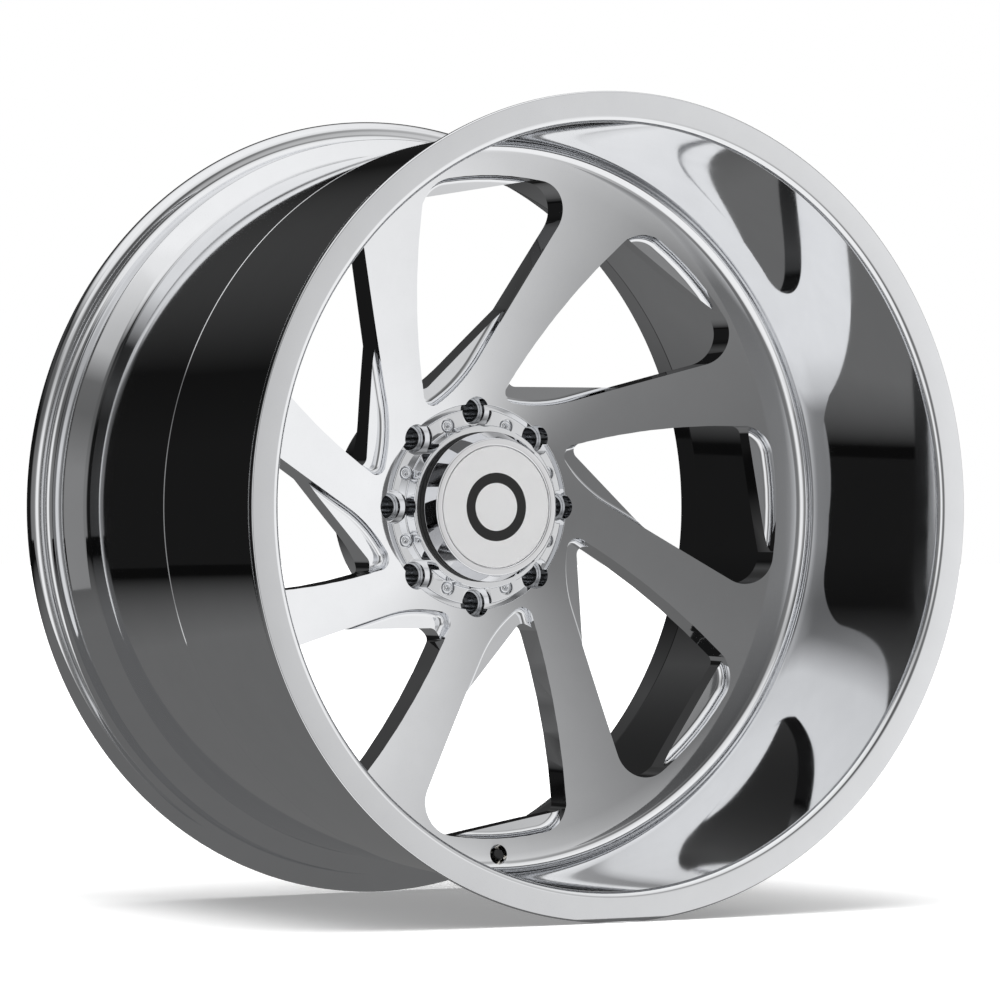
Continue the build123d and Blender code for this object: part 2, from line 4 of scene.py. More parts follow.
import bmesh
import bpy
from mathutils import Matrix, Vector


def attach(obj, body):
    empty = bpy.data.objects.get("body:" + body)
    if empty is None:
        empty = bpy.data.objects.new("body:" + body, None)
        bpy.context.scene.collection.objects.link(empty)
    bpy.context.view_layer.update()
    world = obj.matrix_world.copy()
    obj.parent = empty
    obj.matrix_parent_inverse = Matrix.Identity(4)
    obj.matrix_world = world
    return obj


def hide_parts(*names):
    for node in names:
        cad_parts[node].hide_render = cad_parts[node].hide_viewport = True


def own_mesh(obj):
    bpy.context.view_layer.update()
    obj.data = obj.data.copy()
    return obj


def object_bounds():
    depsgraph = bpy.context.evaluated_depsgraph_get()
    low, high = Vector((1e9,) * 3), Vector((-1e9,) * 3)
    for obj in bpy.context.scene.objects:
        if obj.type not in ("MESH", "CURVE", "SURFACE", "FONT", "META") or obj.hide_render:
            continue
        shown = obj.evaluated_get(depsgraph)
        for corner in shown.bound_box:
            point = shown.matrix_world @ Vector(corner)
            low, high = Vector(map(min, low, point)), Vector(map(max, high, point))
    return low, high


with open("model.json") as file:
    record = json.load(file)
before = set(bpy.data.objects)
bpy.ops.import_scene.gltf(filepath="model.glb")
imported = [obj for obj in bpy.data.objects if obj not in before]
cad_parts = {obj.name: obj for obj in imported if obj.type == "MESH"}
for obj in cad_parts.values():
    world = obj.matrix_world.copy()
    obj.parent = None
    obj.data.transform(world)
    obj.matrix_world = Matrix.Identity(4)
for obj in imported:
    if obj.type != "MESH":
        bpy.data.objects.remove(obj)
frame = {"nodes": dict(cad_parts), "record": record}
cad_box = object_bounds()
nodes = frame["nodes"]
mm = 0.001

# ------------------------------------------------------------------ colour and node helpers


def colour(hex_text):
    """An sRGB hex value as linear RGBA."""
    channels = [int(hex_text[i:i + 2], 16) / 255 for i in (1, 3, 5)]
    linear = [c / 12.92 if c <= 0.04045 else ((c + 0.055) / 1.055) ** 2.4 for c in channels]
    return (*linear, 1.0)


def add_node(tree, kind, settings=None, values=None, links=None):
    """Adds a node with its settings, its socket values and the links that come into it."""
    node = tree.nodes.new(kind)
    for name, value in (settings or {}).items():
        setattr(node, name, value)
    for socket, value in (values or {}).items():
        node.inputs[socket].default_value = value
    for socket, source in (links or {}).items():
        tree.links.new(source, node.inputs[socket])
    return node


def new_material(name):
    material = bpy.data.materials.new(name)
    material.use_nodes = True
    material.node_tree.nodes.clear()
    return material, material.node_tree


def finish_material(tree, shader):
    add_node(tree, "ShaderNodeOutputMaterial", links={"Surface": shader.outputs["BSDF"]})


def object_mm(tree, scale):
    """Object coordinates stretched so that one unit is 1 / scale metres."""
    place = add_node(tree, "ShaderNodeTexCoord")
    return add_node(tree, "ShaderNodeMapping", values={"Scale": scale},
                    links={"Vector": place.outputs["Object"]}).outputs["Vector"]


def polished_alloy(name, tint, worn_tint, roughness, haze, ripple):
    """Forged 6061, cut on a lathe or mill and buffed: a clear mirror with a faint buffing haze
    and the slightest ripple left by the wheel."""
    material, tree = new_material(name)
    # buffing haze in patches about 40 mm across
    patches = add_node(tree, "ShaderNodeTexNoise", {"noise_dimensions": "3D"},
                       {"Scale": 1.0, "Detail": 4.0, "Roughness": 0.6},
                       {"Vector": object_mm(tree, (25, 25, 25))})
    # fine wiping marks, 1.2 mm apart so that they show, thinner on the real part
    marks = add_node(tree, "ShaderNodeTexNoise", {"noise_dimensions": "3D"},
                     {"Scale": 1.0, "Detail": 2.0, "Roughness": 0.5},
                     {"Vector": object_mm(tree, (120, 830, 120))})
    rough = add_node(tree, "ShaderNodeMapRange", None,
                     {"From Min": 0.35, "From Max": 0.75, "To Min": roughness,
                      "To Max": roughness + haze}, {"Value": patches.outputs["Fac"]})
    tone = add_node(tree, "ShaderNodeMix", {"data_type": "RGBA"},
                    {6: colour(tint), 7: colour(worn_tint)}, {0: patches.outputs["Fac"]})
    bump = add_node(tree, "ShaderNodeBump", None, {"Strength": ripple, "Distance": 0.00002},
                    {"Height": marks.outputs["Fac"]})
    shader = add_node(tree, "ShaderNodeBsdfPrincipled", None, {"Metallic": 1.0},
                      {"Base Color": tone.outputs[2], "Roughness": rough.outputs["Result"],
                       "Normal": bump.outputs["Normal"]})
    finish_material(tree, shader)
    return material


def satin_metal(name, tint, second_tint, roughness, grain_scale, bump_depth, metallic=1.0):
    """Bead-blasted, plated or drawn metal: a soft sheen with a fine even grain. A clear oxide
    coat scatters some light, so it has a lower metallic share."""
    material, tree = new_material(name)
    grain = add_node(tree, "ShaderNodeTexNoise", {"noise_dimensions": "3D"},
                     {"Scale": 1.0, "Detail": 3.0, "Roughness": 0.65},
                     {"Vector": object_mm(tree, (grain_scale, grain_scale, grain_scale))})
    tone = add_node(tree, "ShaderNodeMix", {"data_type": "RGBA"},
                    {6: colour(tint), 7: colour(second_tint)}, {0: grain.outputs["Fac"]})
    rough = add_node(tree, "ShaderNodeMapRange", None,
                     {"To Min": roughness - 0.05, "To Max": roughness + 0.07},
                     {"Value": grain.outputs["Fac"]})
    bump = add_node(tree, "ShaderNodeBump", None, {"Strength": 0.25, "Distance": bump_depth},
                    {"Height": grain.outputs["Fac"]})
    shader = add_node(tree, "ShaderNodeBsdfPrincipled", None, {"Metallic": metallic},
                      {"Base Color": tone.outputs[2], "Roughness": rough.outputs["Result"],
                       "Normal": bump.outputs["Normal"]})
    finish_material(tree, shader)
    return material


def moulded(name, tint, second_tint, roughness, ior, grain_scale, bump_depth):
    """Moulded rubber or plastic with a faint eroded texture."""
    material, tree = new_material(name)
    grain = add_node(tree, "ShaderNodeTexNoise", {"noise_dimensions": "3D"},
                     {"Scale": 1.0, "Detail": 3.0, "Roughness": 0.6},
                     {"Vector": object_mm(tree, (grain_scale, grain_scale, grain_scale))})
    tone = add_node(tree, "ShaderNodeMix", {"data_type": "RGBA"},
                    {6: colour(tint), 7: colour(second_tint)}, {0: grain.outputs["Fac"]})
    rough = add_node(tree, "ShaderNodeMapRange", None,
                     {"To Min": roughness - 0.06, "To Max": roughness + 0.06},
                     {"Value": grain.outputs["Fac"]})
    bump = add_node(tree, "ShaderNodeBump", None, {"Strength": 0.4, "Distance": bump_depth},
                    {"Height": grain.outputs["Fac"]})
    shader = add_node(tree, "ShaderNodeBsdfPrincipled", None, {"IOR": ior},
                      {"Base Color": tone.outputs[2], "Roughness": rough.outputs["Result"],
                       "Normal": bump.outputs["Normal"]})
    finish_material(tree, shader)
    return material


materials = {
    # buffed forging, the wheel itself
    "forged_alloy": polished_alloy("buffed_forged_6061", "#ECEDEF", "#E3E4E6", 0.035, 0.03, 0.05),
    # cap base and hat, turned and buffed a little brighter
    "cap_alloy": polished_alloy("buffed_turned_6061", "#EDEEF0", "#E6E7E9", 0.04, 0.03, 0.05),
    "cap_polished": polished_alloy("bright_buffed_hat", "#F0F0F1", "#EAEAEC", 0.03, 0.02, 0.03),
    # clear-anodised disc, finely blasted
    "badge_satin": satin_metal("blasted_clear_anodised_disc", "#F6F6F6", "#F0F0F1", 0.3, 2500,
                               0.00001, 0.55),
    # plated steel seats, a darker grey than the forging: partly their own plating, partly painted
    # shade for the depth of their bores
    "seat_steel": satin_metal("nickel_steel_with_bore_shade", "#C9CBCE", "#A7A9AC", 0.1, 900, 0.00001),
    # bright zinc screws
    "screw_steel": satin_metal("bright_zinc_steel", "#F2F3F5", "#DFE1E4", 0.12, 700, 0.00001),
    "spring_steel": satin_metal("drawn_spring_steel", "#C4C6C9", "#A9ABAF", 0.2, 900, 0.00001),
    # nickel-plated and bare brass valve pieces
    "valve_metal": satin_metal("nickel_plated_brass", "#D8D4CC", "#C6C1B7", 0.12, 600, 0.00001),
    "valve_brass": satin_metal("machined_brass", "#C9A45C", "#B08B45", 0.18, 800, 0.00001),
    "black_rubber": moulded("black_nbr_rubber", "#101010", "#1A1A1A", 0.6, 1.52, 900, 0.00003),
    "black_plastic": moulded("black_nylon_cap", "#0B0B0C", "#141416", 0.42, 1.53, 1200, 0.00002),
    "mark_black": moulded("black_enamel_inlay", "#060607", "#0B0B0C", 0.22, 1.5, 1500, 0.000005),
}

slots = {part["node"]: part["material_slot"] for part in frame["record"]["subparts"]}
body_of = {name: body for body, names in frame["record"]["behaviour"]["bodies"].items()
           for name in names}

# ------------------------------------------------------------------ modelling helpers


def only(piece):
    """Makes a piece the one selected, active object."""
    bpy.ops.object.select_all(action="DESELECT")
    piece.select_set(True)
    bpy.context.view_layer.objects.active = piece


def rounded_run(corners, step, closed=True):
    """Points along lines and arcs. A corner is (a, b, bulge), and the bulge is the tangent of a
    quarter of the arc's angle to the next corner: 0 for a line, positive to the right."""
    points = []
    ends = corners[1:] + corners[:1] if closed else corners[1:]
    for (ax, ay, bulge), (bx, by, _) in zip(corners, ends):
        points.append((ax, ay))
        angle = 4 * atan(bulge)
        count = max(1, round(abs(angle) / radians(step)))
        if count == 1 or abs(bulge) < 0.001:
            continue
        lean = 0.5 / tan(angle / 2)
        cx = (ax + bx) / 2 - (by - ay) * lean
        cy = (ay + by) / 2 + (bx - ax) * lean
        for index in range(1, count):
            turn = angle * index / count
            points.append((cx + (ax - cx) * cos(turn) - (ay - cy) * sin(turn),
                           cy + (ax - cx) * sin(turn) + (ay - cy) * cos(turn)))
    return points


def draw_loop(name, points):
    """Draws a closed loop of edges, corner by corner, and leaves it in edit mode, selected."""
    bpy.ops.object.select_all(action="DESELECT")
    bpy.ops.mesh.primitive_plane_add(size=mm, location=(0, 0, 0))
    piece = bpy.context.active_object
    piece.name = name
    bpy.ops.object.mode_set(mode="EDIT")
    bpy.ops.mesh.select_mode(type="VERT")
    bpy.ops.mesh.select_all(action="SELECT")
    bpy.ops.mesh.merge(type="CENTER")
    bpy.ops.transform.translate(value=Vector(points[0]) * mm)
    for start, end in zip(points, points[1:] + points[:1]):
        step = (Vector(end) - Vector(start)) * mm
        bpy.ops.mesh.extrude_region_move(TRANSFORM_OT_translate={"value": step})
    bpy.ops.mesh.select_all(action="SELECT")
    bpy.ops.mesh.remove_doubles(threshold=0.000002)
    bpy.ops.mesh.select_all(action="SELECT")
    return piece


def turned_piece(name, corners, turns, centre=(0, 0), step=12):
    """Spins a (radius, y) section about an axis along Y through centre (x, z)."""
    x, z = centre
    section = [(x + radius, y, z) for radius, y in rounded_run(corners, step)]
    piece = draw_loop(name, section)
    bpy.ops.mesh.spin(steps=turns, angle=2 * pi, center=(x * mm, 0, z * mm), axis=(0, 1, 0))
    bpy.ops.mesh.select_all(action="SELECT")
    bpy.ops.mesh.remove_doubles(threshold=0.000002)
    bpy.ops.mesh.select_all(action="SELECT")
    bpy.ops.mesh.normals_make_consistent(inside=False)
    bpy.ops.mesh.delete_loose(use_verts=True, use_edges=True, use_faces=False)
    bpy.ops.object.mode_set(mode="OBJECT")
    return piece


def pushed_piece(name, outline, y_start, y_end):
    """Draws an (x, z) outline at y_start, fills it and pushes it back to y_end. It leaves the
    piece in edit mode."""
    piece = draw_loop(name, [(x, y_start, z) for x, z in outline])
    bpy.ops.mesh.edge_face_add()
    push = (0, (y_end - y_start) * mm, 0)
    bpy.ops.mesh.extrude_region_move(TRANSFORM_OT_translate={"value": push})
    bpy.ops.mesh.select_all(action="SELECT")
    bpy.ops.mesh.normals_make_consistent(inside=False)
    return piece


def round_bar(name, centre, y_start, y_end, diameter, sides=96):
    bpy.ops.object.select_all(action="DESELECT")
    bpy.ops.mesh.primitive_cylinder_add(
        vertices=sides, radius=diameter / 2 * mm, depth=(y_end - y_start) * mm,
        location=(centre[0] * mm, (y_start + y_end) / 2 * mm, centre[1] * mm),
        rotation=(pi / 2, 0, 0))
    bar = bpy.context.active_object
    bar.name = name
    bpy.ops.object.transform_apply(location=True, rotation=True, scale=True)
    return bar


def joined(pieces):
    only(pieces[0])
    for piece in pieces:
        piece.select_set(True)
    bpy.ops.object.join()
    return bpy.context.active_object


def ring_of(piece, count, first_angle=0.0):
    """Copies a piece round the wheel's axis and joins the copies."""
    copies = []
    for index in range(count):
        only(piece)
        bpy.ops.object.duplicate()
        copy = bpy.context.active_object
        angle = radians(first_angle + index * 360 / count)
        bpy.ops.object.mode_set(mode="EDIT")
        bpy.ops.mesh.select_all(action="SELECT")
        bpy.ops.transform.rotate(value=angle, orient_axis="Y", center_override=(0, 0, 0))
        bpy.ops.object.mode_set(mode="OBJECT")
        copies.append(copy)
    bpy.data.objects.remove(piece)
    return joined(copies)


def combine(piece, tool, operation):
    """Cuts the tool out of the piece, or welds it on, and uses the tool up."""
    only(piece)
    change = piece.modifiers.new("combine", "BOOLEAN")
    change.operation = operation
    change.solver = "EXACT"
    change.object = tool
    bpy.ops.object.modifier_apply(modifier=change.name)
    bpy.data.objects.remove(tool)


def clean_up(piece, gap=0.000004):
    only(piece)
    bpy.ops.object.mode_set(mode="EDIT")
    bpy.ops.mesh.select_all(action="SELECT")
    bpy.ops.mesh.remove_doubles(threshold=gap)
    bpy.ops.mesh.dissolve_degenerate(threshold=gap / 2)
    bpy.ops.object.mode_set(mode="OBJECT")


def soften_edges(piece, wanted, width, segments=2):
    """Rounds the sharp edges that wanted(edge) picks, after merging points crowded along them."""
    only(piece)
    bpy.ops.object.mode_set(mode="EDIT")
    bpy.ops.mesh.select_mode(type="EDGE")
    bpy.ops.mesh.select_all(action="DESELECT")
    mesh = bmesh.from_edit_mesh(piece.data)

    def sharp_and_wanted():
        return [edge for edge in mesh.edges if len(edge.link_faces) == 2
                and edge.calc_face_angle() > radians(35) and wanted(edge)]

    crowded = {corner for edge in sharp_and_wanted() for corner in edge.verts}
    bmesh.ops.remove_doubles(mesh, verts=list(crowded), dist=width * 0.45 * mm)
    for edge in sharp_and_wanted():
        edge.select = True
    bmesh.update_edit_mesh(piece.data)
    bpy.ops.mesh.bevel(offset=width * mm, segments=segments, affect="EDGES",
                       clamp_overlap=False, loop_slide=False)
    bpy.ops.object.mode_set(mode="OBJECT")


def shade(piece, sharp_angle=30):
    only(piece)
    bpy.ops.object.shade_smooth_by_angle(angle=radians(sharp_angle))
    weights = piece.modifiers.new("face_weights", "WEIGHTED_NORMAL")
    weights.mode = "FACE_AREA"
    weights.weight = 80
    weights.keep_sharp = True
    bpy.ops.object.modifier_apply(modifier=weights.name)


# ------------------------------------------------------------------ the forging

# sizes in millimetres
front_y = -316.9
disc_depth_outer = 207.9
disc_depth_hub = 246.6
hub_ledge_radius = 98.0        # where the ledge floor is 8 mm below the hub end of the spokes
rim_ledge_radius = 290.5       # and 13 mm below their rim end
hub_ledge_drop = 8.0
rim_ledge_drop = 13.0
ledge_floor_angle = 88.75      # middle of the window, anticlockwise from +X
ledge_cove = 6.0
lug_circle_radius = 85.0
lug_count = 8
window_count = 8
lug_pocket_diameter = 24.4
stud_hole_diameter = 15.5
lug_pocket_floor = -24.9
valve_circle_radius = 304.0
valve_tilt = 25                # degrees, the cap's end leans towards the wheel's axis
# half section of the forging, (radius, y, bulge)
forging_section = [
    (329.968, -316.9, 0), (348.8, -316.9, 0.4142), (350.1, -315.6, 0), (350.1, -313.7, 0.4142),
    (340.6, -304.2, 0), (338.556, -304.2, -0.3889), (332.081, -298.267, 0),
    (330.963, -285.488, -0.1225), (331.354, -283.009, 0), (332.681, -279.872, 0.1765),
    (332.772, -278.095, 0), (329.85, -268.6, 0), (324.27, -105.7, 0), (323.2, -104.7, 0),
    (324.2, -103.8, 0), (322.9, -101.6, 0),
    (316.207, 56.405, -0.219), (319.354, 64.148, 0), (331.729, 75.76, 0.3141),
    (332.344, 78.669, 0), (331.354, 81.009, -0.1225), (330.963, 83.488, 0),
    (332.081, 96.267, -0.3889), (338.556, 102.2, 0), (340.6, 102.2, 0.4142),
    (350.1, 111.7, 0), (350.1, 113.6, 0.4142), (348.8, 114.9, 0), (328.6, 114.9, 0.4142),
    (325.6, 111.9, 0), (325.6, 82.101, -0.1871), (323.509, 76.709, 0),
    (312.68, 64.841, 0.1994), (311.119, 60.511, 0), (316.993, -62.714, -0.4905),
    (295.335, -81.191, 0), (128.955, -46.462, -0.1724), (117.52, -39.495, 0),
    (110.879, -31.323, -0.1458), (108.693, -26.045, 0), (106.186, -1.794, 0.3843),
    (104.196, 0, 0), (64.55, 0, 0.4142), (62.55, -2, 0), (62.55, -54.4, 0), (65, -54.4, 0),
    (65, -62.9, 0), (90.5, -62.9, 0), (90.5, -69.616, 0.3693), (91.176, -70.406, -0.0118),
    (304.0, -109.0, 0), (309.573, -109.431, -0.3854), (319.722, -120.154, 0),
    (323.969, -311.033, 0.4077)]
# the window above the hub, (x, z, bulge): its outline on the face, then the through opening
window_outline = [
    (-39.638, 90.403, 0.11474), (-0.461, 132.199, 0), (65.709, 246.554, 0.52506),
    (46.678, 286.725, 0.08182), (-47.767, 286.546, 0.35951), (-72.824, 257.709, 0.06799),
    (-54.893, 96.278, 0.5186)]
opening_outline = [
    (40.938, 287.601, 0), (-66.023, 269.702, 0.35728), (-72.699, 262.071, 0.06399),
    (-58.133, 109.825, 0.5903), (-44.675, 105.939, 0), (24.193, 174.807, 0),
    (65.709, 246.554, 0.52506), (46.678, 286.725, 0.005)]


def disc_arc_points(section):
    """Adds points along the shallow arc of the spokes' face, so that its shading is even."""
    finer = []
    for (ax, ay, bulge), (bx, by, _) in zip(section, section[1:] + section[:1]):
        if 0.001 < abs(bulge) < 0.05:
            run = rounded_run([(ax, ay, bulge), (bx, by, 0)], 0.18, closed=False)
            finer += [(x, y, 0) for x, y in run]
        else:
            finer.append((ax, ay, bulge))
    return finer


def window_tool():
    """Cutter for one window: the through opening, and the sunk ledges with coved edges."""
    tilt = radians(ledge_floor_angle)
    hub_floor = front_y + disc_depth_hub + hub_ledge_drop
    rim_floor = front_y + disc_depth_outer + rim_ledge_drop
    slope = (hub_floor - rim_floor) / (rim_ledge_radius - hub_ledge_radius)
    ledges = pushed_piece("ledges", rounded_run(window_outline, 3), front_y, -40)
    bpy.ops.mesh.select_all(action="SELECT")
    point = Vector((hub_ledge_radius * cos(tilt), hub_floor, hub_ledge_radius * sin(tilt))) * mm
    normal = Vector((slope * cos(tilt), 1, slope * sin(tilt))).normalized()
    bpy.ops.mesh.bisect(plane_co=point, plane_no=normal, use_fill=True, clear_outer=True)
    bpy.ops.mesh.select_mode(type="EDGE")
    bpy.ops.mesh.bevel(offset=ledge_cove * mm, segments=6, affect="EDGES", clamp_overlap=False)
    bpy.ops.object.mode_set(mode="OBJECT")
    opening = pushed_piece("opening", rounded_run(opening_outline, 3), front_y, -8)
    bpy.ops.object.mode_set(mode="OBJECT")
    combine(ledges, opening, "UNION")
    return ledges


# ------------------------------------------------------------------ finished pieces


def finish_piece(piece, node, sharp_angle=30):
    """Shades a piece and lets it stand for its CAD part."""
    shade(piece, sharp_angle)
    piece.data.materials.clear()
    piece.data.materials.append(materials[slots[node]])
    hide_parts(node)
    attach(piece, body_of[node])
    return piece


def smooth_copy(node, sharp_angle=28):
    """A merged copy of a part whose rounded faces shade as one surface."""
    only(nodes[node])
    bpy.ops.object.duplicate()
    piece = bpy.context.active_object
    piece.name = node + "_finished"
    piece.parent = None
    for key in list(piece.keys()):
        if key.startswith("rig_"):
            del piece[key]
    clean_up(piece)
    return finish_piece(piece, node, sharp_angle)


def valve_bar(name, start, end, diameter, sides=64):
    """A round bar on the valve's axis, between two distances from the disc face."""
    bar = round_bar(name, (0, 0), start, end, diameter, sides)
    only(bar)
    bpy.ops.object.mode_set(mode="EDIT")
    bpy.ops.mesh.select_all(action="SELECT")
    bpy.ops.transform.rotate(value=radians(valve_tilt), orient_axis="X",
                             center_override=(0, 0, 0))
    bpy.ops.transform.translate(
        value=(0, (front_y + disc_depth_outer) * mm, -valve_circle_radius * mm))
    bpy.ops.object.mode_set(mode="OBJECT")
    return bar


forging = turned_piece("wheel_forging", disc_arc_points(forging_section), 420, step=14)
combine(forging, ring_of(window_tool(), window_count), "DIFFERENCE")
pocket = round_bar("lug_pocket", (lug_circle_radius, 0), -100, lug_pocket_floor, lug_pocket_diameter)
stud_hole = round_bar("stud_hole", (lug_circle_radius, 0), -40, 5, stud_hole_diameter)
combine(pocket, stud_hole, "UNION")
combine(forging, ring_of(pocket, lug_count), "DIFFERENCE")
# front pocket, through hole and back spot face of the valve: start, end, diameter
for start, end, diameter in ((-40, 16, 17.0), (10, 60, 11.5), (36, 62, 18.0)):
    combine(forging, valve_bar("valve_drill", start, end, diameter), "DIFFERENCE")
clean_up(forging)
finish_piece(forging, "wheel_body")

# cap base: spun ring, then eight scallops round the lugs and eight screw-head pockets
scallop_diameter = 29.2
cap_screw_circle_radius = 77.0
cap_screw_pocket_diameter = 12.8
half_lug_pitch = 180 / lug_count
cap_ring_section = [
    (86.5, -62.9, 0), (64.75, -62.9, 0), (64.75, -56.1, 0.4142), (63.55, -54.9, 0),
    (55.0, -54.9, 0), (55.0, -76.9, 0), (64.0, -76.9, 0), (64.0, -86.6, 0),
    (70.8, -86.6, 0.4142), (72.0, -85.4, 0), (72.0, -72.1, -0.4142), (73.2, -70.9, 0),
    (85.3, -70.9, 0.4142), (86.5, -69.7, 0)]
cap_ring = turned_piece("cap_ring", cap_ring_section, 320)
scallop = round_bar("scallop", (lug_circle_radius, 0), -95, -50, scallop_diameter)
combine(cap_ring, ring_of(scallop, lug_count), "DIFFERENCE")
head_pocket = round_bar("head_pocket", (cap_screw_circle_radius, 0), -95, -67.6,
                        cap_screw_pocket_diameter, 64)
combine(cap_ring, ring_of(head_pocket, lug_count, half_lug_pitch), "DIFFERENCE")
clean_up(cap_ring)


def on_cap_plate(edge):
    return all(-71.2 < corner.co.y / mm < -70.6 for corner in edge.verts)


soften_edges(cap_ring, on_cap_plate, 0.5)
finish_piece(cap_ring, "cap_base")

hat_section = [
    (0, -97.9, 0), (0, -102.6, 0), (53.6, -102.6, 0), (53.6, -104.3, 0.4142),
    (55.2, -105.9, 0), (58.994, -105.9, 0.2883), (60.436, -104.993, 0),
    (65.649, -94.147, 0.5524), (64.928, -93.0, 0), (63.6, -93.0, 0), (63.6, -76.9, 0),
    (57.0, -76.9, 0), (57.0, -96.3, -0.4142), (55.4, -97.9, 0)]
finish_piece(turned_piece("cap_crown", hat_section, 320), "cap_hat")

badge_section = [
    (0, -102.6, 0), (0, -105.1, 0), (21.0, -105.1, 0), (21.0, -104.3, 0), (30.0, -104.3, 0),
    (30.0, -105.1, 0), (52.8, -105.1, 0.4142), (53.3, -104.6, 0), (53.3, -102.6, 0)]
finish_piece(turned_piece("satin_disc", badge_section, 256), "cap_badge")

# a black ring fills the gap under the hat, giving that gap its dark look
hat_gap_ring_section = [
    (63.6, -86.6, 0), (63.6, -93.0, 0), (65.1, -93.0, 0.4142), (66.1, -92.0, 0),
    (66.1, -87.6, 0.4142), (65.1, -86.6, 0)]
finish_piece(turned_piece("ring_filling_hat_gap", hat_gap_ring_section, 256), "cap_seal")

seat_section = [
    (10.2, -54.9, 0), (11.9, -54.9, 0.4142), (12.2, -54.6, 0), (12.2, -24.9, 0),
    (7.75, -24.9, 0), (7.75, -39.137, 0), (10.5, -43.9, 0), (10.5, -54.6, 0)]
seat = turned_piece("lug_seat", seat_section, 96, (lug_circle_radius, 0))
finish_piece(ring_of(seat, lug_count), "lug_seat_inserts")

for node in ("cap_screws", "cap_hat_screws", "cap_mark", "valve_body", "valve_seal",
             "valve_washer", "valve_nut", "valve_core", "valve_core_seal", "valve_core_pin",
             "valve_cap", "valve_cap_seal"):
    smooth_copy(node)

# the core's spring gets a mesh of its own; on the valve it shortens against its inner shelf by the
# travel of the pin
core_spring = smooth_copy("valve_core_spring")
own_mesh(core_spring)

# ------------------------------------------------------------------ studio


def flat_plane(name, size, place, material):
    bpy.ops.object.select_all(action="DESELECT")
    bpy.ops.mesh.primitive_plane_add(size=size, location=place)
    plane = bpy.context.active_object
    plane.name = name
    plane.data.materials.append(material)
    return plane


floor_height = cad_box[0][2]
floor_material, floor_tree = new_material("matt_white_paper")
fibre = add_node(floor_tree, "ShaderNodeTexNoise", None, {"Scale": 1.0, "Detail": 2.0},
                 {"Vector": object_mm(floor_tree, (60, 60, 60))})
paper = add_node(floor_tree, "ShaderNodeMix", {"data_type": "RGBA"},
                 {6: colour("#FAFAFA"), 7: colour("#FFFFFF")}, {0: fibre.outputs["Fac"]})
# the paper is lit up evenly beyond 3 m, and by the overhead box near the wheel
reach = add_node(floor_tree, "ShaderNodeVectorMath", {"operation": "LENGTH"},
                 links={0: object_mm(floor_tree, (1, 1, 1))})
far_light = add_node(floor_tree, "ShaderNodeMapRange", None,
                     {"From Min": 1.1, "From Max": 3.0, "To Min": 0.22, "To Max": 0.9},
                     {"Value": reach.outputs["Value"]})
floor_shader = add_node(floor_tree, "ShaderNodeBsdfPrincipled", None,
                        {"Roughness": 1.0, "Specular IOR Level": 0.0,
                         "Emission Color": (1, 1, 1, 1)},
                        {"Base Color": paper.outputs[2],
                         "Emission Strength": far_light.outputs["Result"]})
finish_material(floor_tree, floor_shader)
floor = flat_plane("floor", 60, (0, 0, floor_height), floor_material)
floor.visible_glossy = False

# dim paper behind the wheel, as the polish sees it
sheen_material, sheen_tree = new_material("dim_paper")
sheen_reach = add_node(sheen_tree, "ShaderNodeVectorMath", {"operation": "LENGTH"},
                       links={0: object_mm(sheen_tree, (1, 1, 1))})
fall_off = add_node(sheen_tree, "ShaderNodeMapRange", None,
                    {"From Min": 0.9, "From Max": 1.9, "To Min": 0.15, "To Max": 0.004},
                    {"Value": sheen_reach.outputs["Value"]})
dim = add_node(sheen_tree, "ShaderNodeEmission", None, {"Color": (1, 1, 1, 1)},
               {"Strength": fall_off.outputs["Result"]})
add_node(sheen_tree, "ShaderNodeOutputMaterial", links={"Surface": dim.outputs["Emission"]})
behind = flat_plane("floor_behind", 2.3, (0, 0.8, floor_height + 0.001), sheen_material)
bpy.ops.transform.resize(value=(2.5, 1, 1))
bpy.ops.object.transform_apply(location=True, rotation=True, scale=True)
for ray in ("camera", "diffuse", "shadow"):
    setattr(behind, "visible_" + ray, False)

# white paper all round, seen by the camera only
dome_material, dome_tree = new_material("white_backdrop")
white = add_node(dome_tree, "ShaderNodeEmission", None, {"Color": (1, 1, 1, 1), "Strength": 1.0})
add_node(dome_tree, "ShaderNodeOutputMaterial", links={"Surface": white.outputs["Emission"]})
bpy.ops.object.select_all(action="DESELECT")
bpy.ops.mesh.primitive_uv_sphere_add(radius=28, segments=48, ring_count=24, location=(0, 0, 0))
dome = bpy.context.active_object
dome.name = "backdrop"
dome.data.materials.append(dome_material)
for ray in ("glossy", "diffuse", "transmission", "shadow"):
    setattr(dome, "visible_" + ray, False)

# the room seen in the polish: bright screens in front, a dark room behind
world = bpy.data.worlds.new("studio")
bpy.context.scene.world = world
world.use_nodes = True
room = world.node_tree
room.nodes.clear()
way = add_node(room, "ShaderNodeTexCoord")
split = add_node(room, "ShaderNodeSeparateXYZ", links={"Vector": way.outputs["Generated"]})
toward_front = add_node(room, "ShaderNodeMath", {"operation": "MULTIPLY"}, {1: -1.0},
                        {0: split.outputs["Y"]})
turn = add_node(room, "ShaderNodeMath", {"operation": "ARCTAN2"},
                links={0: split.outputs["X"], 1: toward_front.outputs["Value"]})
turn_share = add_node(room, "ShaderNodeMapRange", None,
                      {"From Min": -pi, "From Max": pi}, {"Value": turn.outputs["Value"]})


def brightness_ramp(stops, source):
    """A ramp of grey from (position, brightness) stops."""
    ramp = add_node(room, "ShaderNodeValToRGB", links={"Fac": source})
    elements = ramp.color_ramp.elements
    while len(elements) < len(stops):
        elements.new(0.5)
    for element, (position, level) in zip(elements, stops):
        element.position = position
    for element, (position, level) in zip(elements, stops):
        element.color = (level, level, level, 1)
    return ramp.outputs["Color"]


def turned_stops(stops):
    return [((angle + 180) / 360, level) for angle, level in stops]


def rise_stops(stops):
    return [((sin(radians(angle)) + 1) / 2, level) for angle, level in stops]


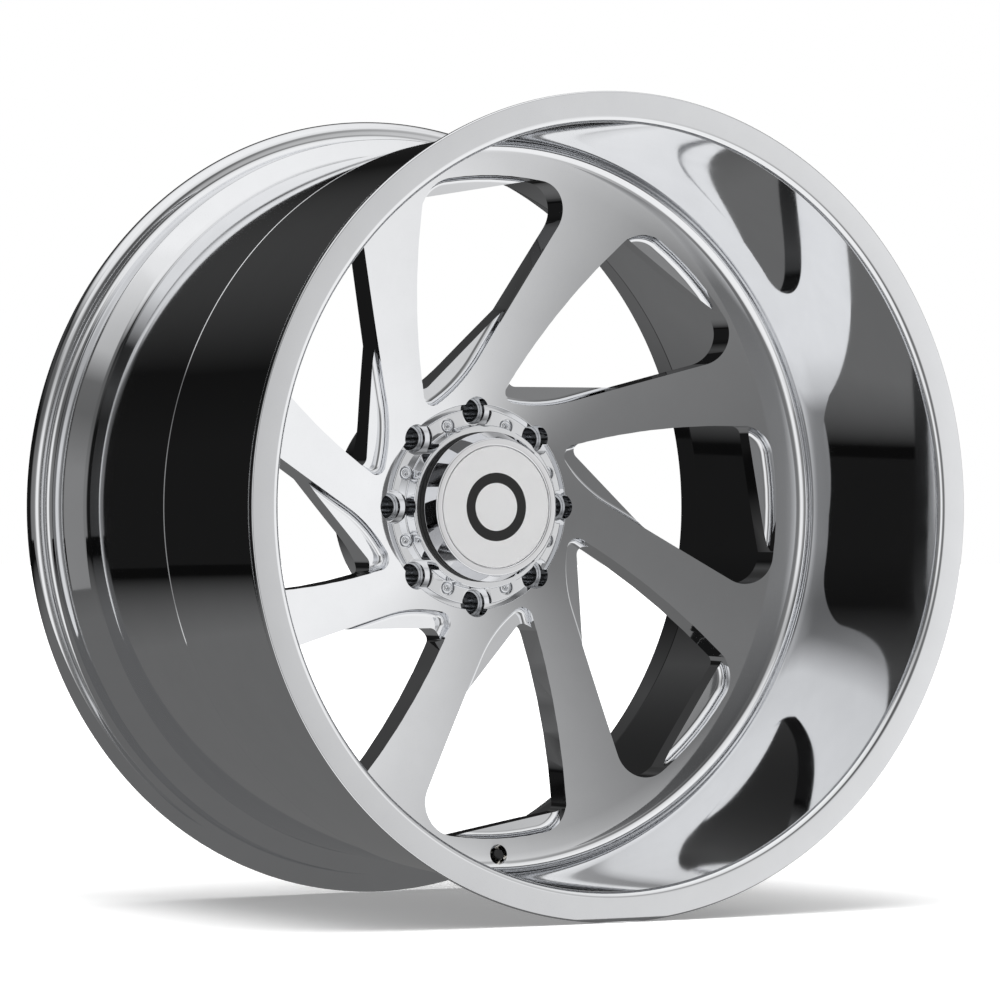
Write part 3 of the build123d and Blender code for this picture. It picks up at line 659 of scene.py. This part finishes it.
around_room = brightness_ramp(turned_stops([
    (-180, 0.01), (-112, 0.01), (-95, 0.2), (-70, 0.2), (-54, 0.28), (-43, 0.9), (-26, 1.0),
    (-10, 0.24), (8, 0.155), (16, 0.22), (27, 0.6), (36, 0.9), (46, 1.0), (75, 1.0), (100, 0.02),
    (180, 0.01)]),
    turn_share.outputs["Result"])
rise = add_node(room, "ShaderNodeMapRange", None, {"From Min": -1.0, "From Max": 1.0},
                {"Value": split.outputs["Z"]})
screens_height = brightness_ramp(rise_stops([
    (-90, 1.0), (-10, 1.0), (8, 1.0), (20, 0.55), (30, 0.62), (44, 0.9), (90, 0.6)]),
    rise.outputs["Result"])
ceiling_and_floor = brightness_ramp(rise_stops([
    (-90, 0.5), (-45, 0.2), (-30, 0.1), (-24, 0.006), (16, 0.004), (27, 0.06),
    (33, 0.03), (38, 0.01), (54, 0.9), (90, 1.0)]),
    rise.outputs["Result"])
# the white floor in front, as far as the screens
in_front = brightness_ramp(turned_stops([
    (-180, 0.0), (-75, 0.0), (-50, 1.0), (50, 1.0), (75, 0.0), (180, 0.0)]),
    turn_share.outputs["Result"])
below_screens = brightness_ramp(rise_stops([
    (-90, 1.0), (-30, 1.0), (-24, 0.85), (-17, 0.0), (24, 0.0), (34, 0.8), (60, 1.0)]),
    rise.outputs["Result"])
front_floor = add_node(room, "ShaderNodeMix", {"data_type": "RGBA", "blend_type": "MULTIPLY"},
                       {0: 1.0}, {6: in_front, 7: below_screens})
screens = add_node(room, "ShaderNodeMix", {"data_type": "RGBA", "blend_type": "MULTIPLY"},
                   {0: 1.0}, {6: around_room, 7: screens_height})
dark_room = add_node(room, "ShaderNodeMix", {"data_type": "RGBA", "blend_type": "LIGHTEN"},
                     {0: 1.0}, {6: screens.outputs[2], 7: ceiling_and_floor})
whole_room = add_node(room, "ShaderNodeMix", {"data_type": "RGBA", "blend_type": "LIGHTEN"},
                      {0: 1.0}, {6: dark_room.outputs[2], 7: front_floor.outputs[2]})
background = add_node(room, "ShaderNodeBackground", None, {"Strength": 1.05},
                      {"Color": whole_room.outputs[2]})
add_node(room, "ShaderNodeOutputWorld", links={"Surface": background.outputs["Background"]})


def softbox(name, place, target, size, power, in_polish):
    light = bpy.data.lights.new(name, "AREA")
    light.shape = "SQUARE"
    light.size = size
    light.energy = power
    lamp = bpy.data.objects.new(name, light)
    bpy.context.scene.collection.objects.link(lamp)
    lamp.location = place
    lamp.rotation_euler = (Vector(target) - Vector(place)).to_track_quat("-Z", "Y").to_euler()
    lamp.visible_glossy = in_polish
    return lamp


softbox("overhead", (-0.6, -0.8, 3.6), (0, 0, 0), 2.6, 135, False)

# ------------------------------------------------------------------ camera
camera_data = bpy.data.cameras.new("camera")
camera = bpy.data.objects.new("camera", camera_data)
bpy.context.scene.collection.objects.link(camera)
camera.location = (-2.362, -4.2199, 0)
camera_way = Vector((0.4984, 0.8669, 0))     # 29.9 degrees round from the wheel's axis
camera.rotation_euler = camera_way.to_track_quat("-Z", "Y").to_euler()
camera_data.sensor_width = 36
camera_data.lens = 195.03
camera_data.shift_y = 0.00693
camera_data.clip_end = 100
bpy.context.scene.camera = camera
bpy.context.scene.view_settings.view_transform = "Standard"
